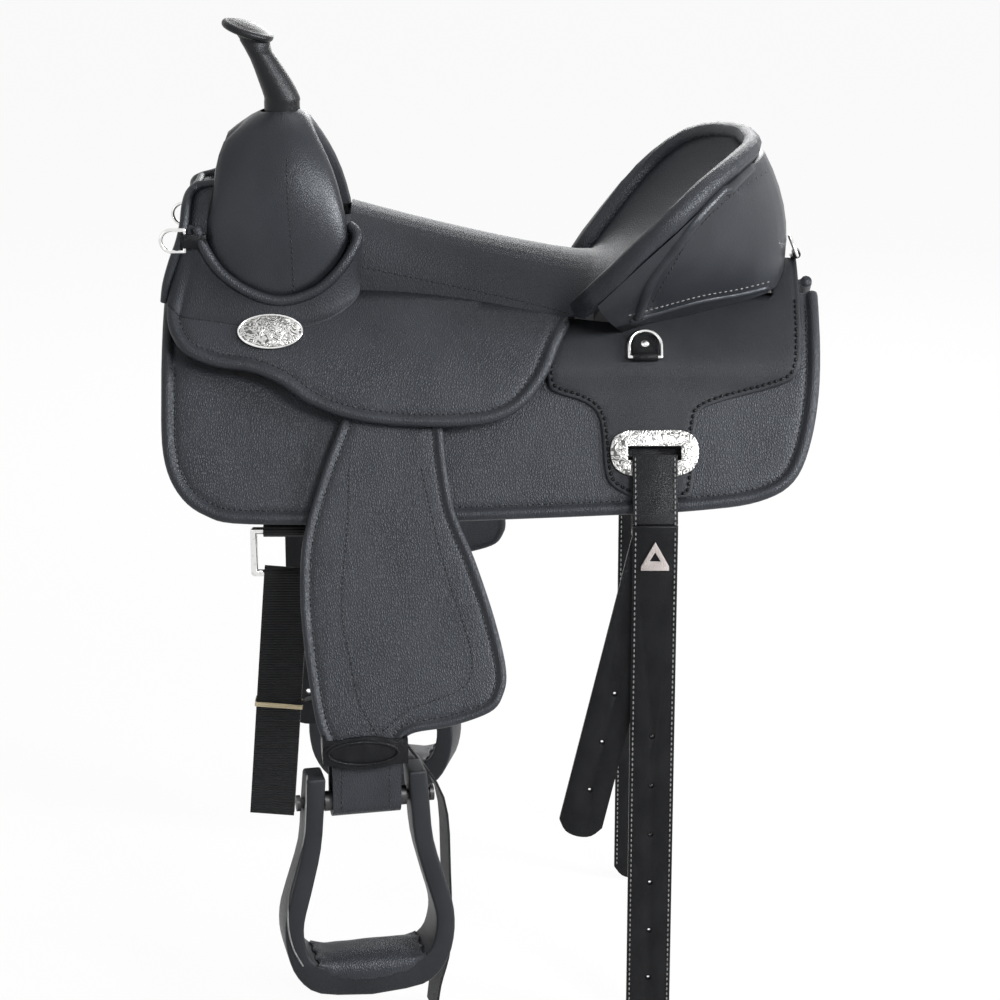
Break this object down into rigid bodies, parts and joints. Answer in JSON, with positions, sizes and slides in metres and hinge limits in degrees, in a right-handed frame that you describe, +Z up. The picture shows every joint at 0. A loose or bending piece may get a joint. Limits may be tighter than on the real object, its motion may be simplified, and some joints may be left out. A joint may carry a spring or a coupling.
{
  "type": "endurance saddle",
  "caption": "Black leather endurance saddle with horn, deep cantle, rolled-edge skirts and jockeys, swinging fenders with stirrups, rigging rings, tie strap and flank billets.",
  "frame": {"origin": "middle of the channel between the upper edges of the tree bars, over the middle of the skirts, where the saddle rests on a back", "axes": "+X from horn to cantle, -Y to the near (left) side, +Z up"},
  "size_m": [0.663, 0.6056, 1.0175],
  "materials": {
    "tree_wood": "laminated, sealed",
    "grain_leather": "soft grain, satin",
    "smooth_leather": "smooth, satin",
    "rolled_edge": "rolled and stitched",
    "seat_suede": "nap, matt",
    "strap_leather": "polished",
    "fleece": "pile",
    "webbing": "ribbed nylon",
    "lace_leather": "undyed",
    "band_rubber": "matt",
    "bright_steel": "polished",
    "plate_silver": "engraved, bright",
    "pin_steel": "plain",
    "ground_plate": "sheet"
  },
  "bodies": {
    "saddle": {"bar_near": "tree_wood", "bar_off": "tree_wood", "fork": "tree_wood", "cantle_board": "tree_wood", "ground_seat": "ground_plate", "hanger_pins": "pin_steel", "horn": "smooth_leather", "horn_cap": "smooth_leather", "fork_cover": "smooth_leather", "gullet_facing": "rolled_edge", "seat": "seat_suede", "jockey_near": "grain_leather", "jockey_off": "grain_leather", "jockey_rolls": "rolled_edge", "fork_collars": "rolled_edge", "cantle_roll": "rolled_edge", "cantle_back": "grain_leather", "rear_jockey_near": "smooth_leather", "rear_jockey_off": "smooth_leather", "skirt_near": "grain_leather", "skirt_off": "grain_leather", "skirt_rolls": "rolled_edge", "linings": "fleece", "conchos": "plate_silver", "rigging_plate_near": "plate_silver", "rigging_plate_off": "plate_silver", "ring_tabs": "webbing", "dee_tabs": "strap_leather", "dee_rivets": "bright_steel", "billet_loop_near": "strap_leather", "billet_loop_off": "strap_leather"},
    "near_fender": {"fender_near": "grain_leather", "fender_roll_near": "rolled_edge", "stirrup_leather_near": "smooth_leather", "hobble_near": "strap_leather"},
    "off_fender": {"fender_off": "grain_leather", "fender_roll_off": "rolled_edge", "stirrup_leather_off": "smooth_leather", "hobble_off": "strap_leather"},
    "near_stirrup": {"stirrup_near": "smooth_leather", "tread_near": "seat_suede", "stirrup_bolt_near": "pin_steel"},
    "off_stirrup": {"stirrup_off": "smooth_leather", "tread_off": "seat_suede", "stirrup_bolt_off": "pin_steel"},
    "near_front_dee": {"front_dee_near": "bright_steel"},
    "off_front_dee": {"front_dee_off": "bright_steel"},
    "near_rear_dee": {"rear_dee_near": "bright_steel"},
    "off_rear_dee": {"rear_dee_off": "bright_steel"},
    "crupper_ring": {"crupper_dee": "bright_steel"},
    "near_rigging_ring": {"rigging_ring_near": "bright_steel"},
    "off_rigging_ring": {"rigging_ring_off": "bright_steel"},
    "near_tie_strap": {"tie_strap": "webbing", "tie_strap_tail": "webbing", "tie_band": "band_rubber"},
    "off_billet_strap": {"off_billet": "webbing"},
    "near_flank_billet": {"billet_near": "strap_leather", "billet_lace_near": "lace_leather"},
    "off_flank_billet": {"billet_off": "strap_leather", "billet_lace_off": "lace_leather"}
  },
  "joints": [
    {"name": "near_fender_swing", "type": "hinge", "parent": "saddle", "child": "near_fender", "pos_m": [-0.11801, -0.1078, -0.06383], "axis": [0, -0.8988, 0.4384], "range_deg": [-22, 23]},
    {"name": "off_fender_swing", "type": "hinge", "parent": "saddle", "child": "off_fender", "pos_m": [-0.11801, 0.1078, -0.06383], "axis": [0, -0.8988, -0.4384], "range_deg": [-22, 23]},
    {"name": "near_stirrup_swing", "type": "hinge", "parent": "near_fender", "child": "near_stirrup", "pos_m": [-0.12454, -0.25856, -0.44749], "axis": [0.9781, 0.2079, 0], "range_deg": [-60, 12]},
    {"name": "off_stirrup_swing", "type": "hinge", "parent": "off_fender", "child": "off_stirrup", "pos_m": [-0.12454, 0.25856, -0.44749], "axis": [0.9781, -0.2079, 0], "range_deg": [-12, 60]},
    {"name": "near_front_dee_turn", "type": "hinge", "parent": "saddle", "child": "near_front_dee", "pos_m": [-0.3059, -0.0619, 0.06992], "axis": [0, 0, 1], "range_deg": [0, 90]},
    {"name": "off_front_dee_turn", "type": "hinge", "parent": "saddle", "child": "off_front_dee", "pos_m": [-0.3059, 0.0619, 0.06992], "axis": [0, 0, 1], "range_deg": [-90, 0]},
    {"name": "near_rear_dee_flip", "type": "hinge", "parent": "saddle", "child": "near_rear_dee", "pos_m": [0.154, -0.1007, -0.03916], "axis": [1, 0, 0], "range_deg": [0, 140]},
    {"name": "off_rear_dee_flip", "type": "hinge", "parent": "saddle", "child": "off_rear_dee", "pos_m": [0.154, 0.1007, -0.03916], "axis": [1, 0, 0], "range_deg": [-140, 0]},
    {"name": "crupper_ring_tip", "type": "hinge", "parent": "saddle", "child": "crupper_ring", "pos_m": [0.311, 0, 0.04283], "axis": [0, 1, 0], "range_deg": [0, 105]},
    {"name": "near_ring_swing", "type": "hinge", "parent": "saddle", "child": "near_rigging_ring", "pos_m": [-0.205, -0.14551, -0.20685], "axis": [1, 0, 0], "range_deg": [-6, 12]},
    {"name": "off_ring_swing", "type": "hinge", "parent": "saddle", "child": "off_rigging_ring", "pos_m": [-0.205, 0.14551, -0.20685], "axis": [1, 0, 0], "range_deg": [-12, 11]},
    {"name": "near_tie_strap_swing", "type": "hinge", "parent": "near_rigging_ring", "child": "near_tie_strap", "pos_m": [-0.205, -0.14551, -0.25165], "axis": [1, 0, 0], "range_deg": [-6, 12]},
    {"name": "off_billet_swing", "type": "hinge", "parent": "off_rigging_ring", "child": "off_billet_strap", "pos_m": [-0.205, 0.14551, -0.25165], "axis": [1, 0, 0], "range_deg": [-12, 12]},
    {"name": "near_flank_billet_bend", "type": "hinge", "parent": "saddle", "child": "near_flank_billet", "pos_m": [0.16284, -0.1735, -0.19431], "axis": [1, 0, 0], "range_deg": [-60, 4]},
    {"name": "off_flank_billet_bend", "type": "hinge", "parent": "saddle", "child": "off_flank_billet", "pos_m": [0.16284, 0.1735, -0.19431], "axis": [1, 0, 0], "range_deg": [-4, 60]}
  ]
}
